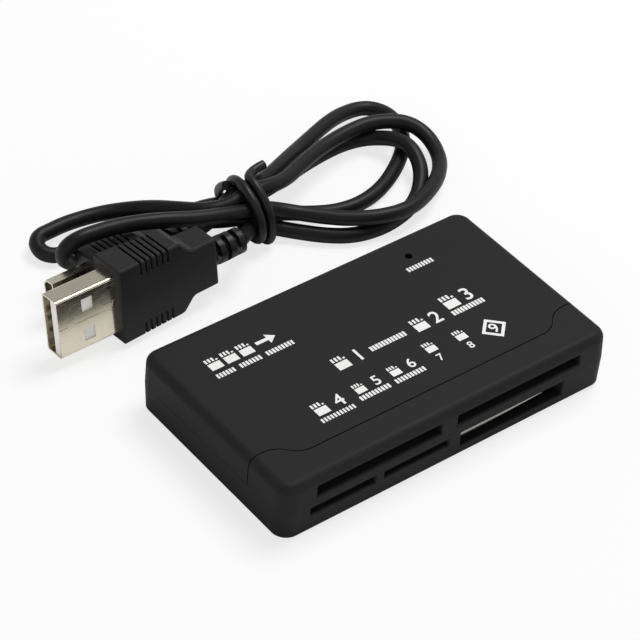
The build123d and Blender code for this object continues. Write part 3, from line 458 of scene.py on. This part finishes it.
NODE_SLOTS = {row["node"]: row["material_slot"] for row in frame["record"]["subparts"]}
OWN_STEP_SLOTS = ("case_black", "plug_nickel", "moulding_black", "cord_black", "tie_black")


class READER_OT_finish_case(bpy.types.Operator):
    """Gives the two shells their moulded finish"""
    bl_idname = "reader.finish_case"
    bl_label = "Finish case"

    def execute(self, context):
        material = finish_material("case_black", context.scene.reader_finish.case_colour)
        for node in ("bottom_case", "top_cover"):
            dress(node, material)
        return {"FINISHED"}


class READER_OT_finish_inner(bpy.types.Operator):
    """Gives the board, sockets and small parts their finishes"""
    bl_idname = "reader.finish_inner"
    bl_label = "Finish inner parts"

    def execute(self, context):
        for node, slot in NODE_SLOTS.items():
            if slot not in OWN_STEP_SLOTS:
                dress(node, finish_material(slot))
        return {"FINISHED"}


class READER_OT_finish_plugs(bpy.types.Operator):
    """Gives both plugs their metal and moulding"""
    bl_idname = "reader.finish_plugs"
    bl_label = "Finish plugs"

    def execute(self, context):
        nickel = finish_material("plug_nickel", context.scene.reader_finish.metal_colour)
        for node, slot in NODE_SLOTS.items():
            if slot == "plug_nickel":
                dress(node, nickel)
            elif slot == "moulding_black":
                dress(node, finish_material(slot))
        return {"FINISHED"}


class READER_OT_lay_lead(bpy.types.Operator):
    """Lays the cord along its route, from the large plug to the small one"""
    bl_idname = "reader.lay_lead"
    bl_label = "Lay lead"

    def execute(self, context):
        lead = context.scene.reader_lead
        cord = nurbs_curve("lead_cord", CORD_ROUTE, lead.cord_diameter, lead.cord_steps)
        cord.data.materials.append(finish_material("cord_black", context.scene.reader_finish.cord_colour))
        keep_piece(cord)
        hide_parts("lead_tail", "lead_hank", "lead_tail_mini")
        return {"FINISHED"}


class READER_OT_wind_tie(bpy.types.Operator):
    """Winds the coated wire of the tie round the bundle"""
    bl_idname = "reader.wind_tie"
    bl_label = "Wind tie"

    path_steps = 10

    def execute(self, context):
        path = nurbs_curve("tie_path", TIE_ROUTE, 0.0, self.path_steps)
        inputs = {"Diameter": context.scene.reader_lead.tie_diameter, "Finish": finish_material("tie_black")}
        tie = grown_piece("tie_wire", path, wire_group(), inputs)
        keep_piece(tie)
        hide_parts("twist_tie")
        return {"FINISHED"}


class READER_OT_print_marks(bpy.types.Operator):
    """Prints card pictograms, plain numbers and rows of bars on the cover"""
    bl_idname = "reader.print_marks"
    bl_label = "Print marks"

    def execute(self, context):
        settings = context.scene.reader_print
        level = frame["nodes"]["top_cover"].bound_box[6][2] + settings.ink_height
        ink = finish_material("print_white", context.scene.reader_finish.print_colour)
        self.repeat("print_cards", card_mesh(), CARD_MARKS, level, ink)
        bars = [(x + step * pitch, y, height)
                for x, y, count, pitch, height in BAR_ROWS for step in range(count)]
        self.repeat("print_bars", bar_mesh(), bars, level, ink)
        arrow = arrow_mesh(settings.arrow_length)
        frame_line = frame_mesh(settings.frame_side, settings.line_width)
        frame_line.transform(Matrix.Rotation(settings.frame_turn, 4, "Z"))
        for name, mesh, (x, y) in (("print_arrow", arrow, ARROW_MARK),
                                   ("print_frame", frame_line, FRAME_MARK)):
            mesh.transform(Matrix.Translation((x * MM, y * MM, level)))
            self.keep(name, mesh, ink)
        for x, y, height, text in NUMBER_MARKS:
            mesh = number_mesh(text, height * MM)
            mesh.transform(Matrix.Translation((x * MM, y * MM, level)))
            self.keep("print_number_" + text, mesh, ink)
        return {"FINISHED"}

    def repeat(self, name, mark, places, level, ink):
        """Copies of a pictogram at places, each scaled to its height."""
        points = bpy.data.meshes.new(name + "_places")
        points.from_pydata([(x * MM, y * MM, level) for x, y, height in places], [], [])
        sizes = points.attributes.new("height", "FLOAT", "POINT")
        sizes.data.foreach_set("value", [height * MM for x, y, height in places])
        sample = bpy.data.objects.new(name + "_sample", mark)
        bpy.context.scene.collection.objects.link(sample)
        source = bpy.data.objects.new(name + "_places", points)
        piece = grown_piece(name, source, repeat_group(), {"Pictogram": sample, "Finish": ink})
        bpy.data.objects.remove(sample)
        keep_piece(piece)

    def keep(self, name, mesh, ink):
        """One printed mark as a piece of its own."""
        mesh.materials.clear()
        mesh.materials.append(ink)
        keep_piece(bpy.data.objects.new(name, mesh))


def white_to_camera(tree, output, own_shader, white_share):
    """Shows a surface or the world as white to the camera, over its own shader."""
    seen = add_node(tree, "ShaderNodeLightPath").outputs["Is Camera Ray"]
    share = add_node(tree, "ShaderNodeMath", (0, seen), (1, white_share), operation="MULTIPLY")
    white = add_node(tree, "ShaderNodeEmission", ("Strength", 1.0))
    mixed = add_node(tree, "ShaderNodeMixShader", ("Fac", share.outputs["Value"]))
    tree.links.new(own_shader, mixed.inputs[1])
    tree.links.new(white.outputs["Emission"], mixed.inputs[2])
    tree.links.new(mixed.outputs["Shader"], output)


def area_light(name, place, aim, size, power):
    """Soft square light at a place, turned to a point."""
    light = bpy.data.lights.new(name, "AREA")
    light.size = size
    light.energy = power
    obj = bpy.data.objects.new(name, light)
    obj.location = place
    obj.rotation_euler = (Vector(aim) - Vector(place)).to_track_quat("-Z", "Y").to_euler()
    bpy.context.scene.collection.objects.link(obj)
    return obj


class READER_OT_set_stage(bpy.types.Operator):
    """Sets the pale floor, soft light, white surroundings and the camera"""
    bl_idname = "reader.set_stage"
    bl_label = "Set stage"

    floor_reach = 3.0
    floor_drop = 0.01 * MM
    floor_paint = (0.90, 0.90, 0.90, 1.0)
    floor_white_share = 0.75
    world_white_share = 1.0
    aim = (0.0, 0.02, 0.0)
    key_place, key_size = (0.42, 0.10, 0.95), 0.5
    fill_place, fill_size = (-0.7, -0.5, 0.5), 0.6
    camera_place = Vector((-237.82, -270.36, 330.67)) * MM
    camera_azimuth = -39.70
    camera_elevation = 41.14
    camera_roll = 3.73
    horizon_glow = 1.0
    zenith_glow = 0.30
    zenith_rise = 0.7
    nearest_seen = 0.01

    def execute(self, context):
        self.lay_floor()
        self.light_world(context.scene)
        settings = context.scene.reader_stage
        area_light("key_light", self.key_place, self.aim, self.key_size, settings.key_power)
        area_light("fill_light", self.fill_place, self.aim, self.fill_size, settings.fill_power)
        self.set_camera(context.scene, settings.lens)
        context.scene.view_settings.view_transform = "Standard"
        return {"FINISHED"}

    def lay_floor(self):
        """Pale floor that keeps the shadows."""
        mesh = bpy.data.meshes.new("studio_floor")
        reach = self.floor_reach
        corners = [(-reach, -reach), (reach, -reach), (reach, reach), (-reach, reach)]
        mesh.from_pydata([(x, y, -self.floor_drop) for x, y in corners], [], [(0, 1, 2, 3)])
        material = bpy.data.materials.new("studio_white")
        material.use_nodes = True
        tree = material.node_tree
        tree.nodes.clear()
        paint = add_node(tree, "ShaderNodeBsdfDiffuse", ("Color", self.floor_paint))
        output = add_node(tree, "ShaderNodeOutputMaterial")
        white_to_camera(tree, output.inputs["Surface"], paint.outputs["BSDF"], self.floor_white_share)
        mesh.materials.append(material)
        floor = bpy.data.objects.new("studio_floor", mesh)
        bpy.context.scene.collection.objects.link(floor)

    def light_world(self, scene):
        """Surroundings that are brightest at the horizon."""
        world = bpy.data.worlds.new("studio_world")
        world.use_nodes = True
        tree = world.node_tree
        tree.nodes.clear()
        direction = add_node(tree, "ShaderNodeTexCoord").outputs["Generated"]
        rise = add_node(tree, "ShaderNodeSeparateXYZ", ("Vector", direction)).outputs["Z"]
        level = add_node(tree, "ShaderNodeMapRange", ("Value", rise),
                         ("From Min", 0.0), ("From Max", self.zenith_rise),
                         ("To Min", self.horizon_glow), ("To Max", self.zenith_glow))
        glow = add_node(tree, "ShaderNodeBackground", ("Strength", level.outputs["Result"]))
        output = add_node(tree, "ShaderNodeOutputWorld")
        white_to_camera(tree, output.inputs["Surface"], glow.outputs["Background"], self.world_white_share)
        scene.world = world

    def set_camera(self, scene, lens):
        """Camera at the place the photo was taken from."""
        data = bpy.data.cameras.new("photo_camera")
        data.lens = lens
        data.clip_start = self.nearest_seen
        camera = bpy.data.objects.new("photo_camera", data)
        turn = Matrix.Rotation(math.radians(self.camera_azimuth), 4, "Z")
        tilt = Matrix.Rotation(math.radians(90.0 - self.camera_elevation), 4, "X")
        roll = Matrix.Rotation(math.radians(self.camera_roll), 4, "Z")
        camera.matrix_world = Matrix.Translation(self.camera_place) @ turn @ tilt @ roll
        scene.collection.objects.link(camera)
        scene.camera = camera


SETTINGS = {"reader_finish": FinishSettings, "reader_lead": LeadSettings,
            "reader_print": PrintSettings, "reader_stage": StageSettings}
OPERATORS = (READER_OT_finish_case, READER_OT_finish_inner, READER_OT_finish_plugs,
             READER_OT_wind_tie, READER_OT_lay_lead, READER_OT_print_marks, READER_OT_set_stage)


class READER_PT_panel(bpy.types.Panel):
    """Lists the reader's settings and steps"""
    bl_idname = "READER_PT_panel"
    bl_label = "Card reader"
    bl_space_type = "VIEW_3D"
    bl_region_type = "UI"
    bl_category = "Card reader"

    def draw(self, context):
        for name, group in SETTINGS.items():
            box = self.layout.box()
            for setting in group.__annotations__:
                box.prop(getattr(context.scene, name), setting)
        for operator in OPERATORS:
            self.layout.operator(operator.bl_idname)


CLASSES = (*SETTINGS.values(), *OPERATORS, READER_PT_panel)


def register():
    for cls in CLASSES:
        bpy.utils.register_class(cls)
    for name, group in SETTINGS.items():
        setattr(bpy.types.Scene, name, PointerProperty(type=group))


def unregister():
    for name in SETTINGS:
        delattr(bpy.types.Scene, name)
    for cls in reversed(CLASSES):
        bpy.utils.unregister_class(cls)


def main():
    """Dresses the reader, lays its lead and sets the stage."""
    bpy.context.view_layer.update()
    register()
    bpy.ops.reader.finish_case()
    bpy.ops.reader.finish_inner()
    bpy.ops.reader.finish_plugs()
    bpy.ops.reader.wind_tie()
    bpy.ops.reader.lay_lead()
    bpy.ops.reader.print_marks()
    bpy.ops.reader.set_stage()


if __name__ == "__main__":
    main()
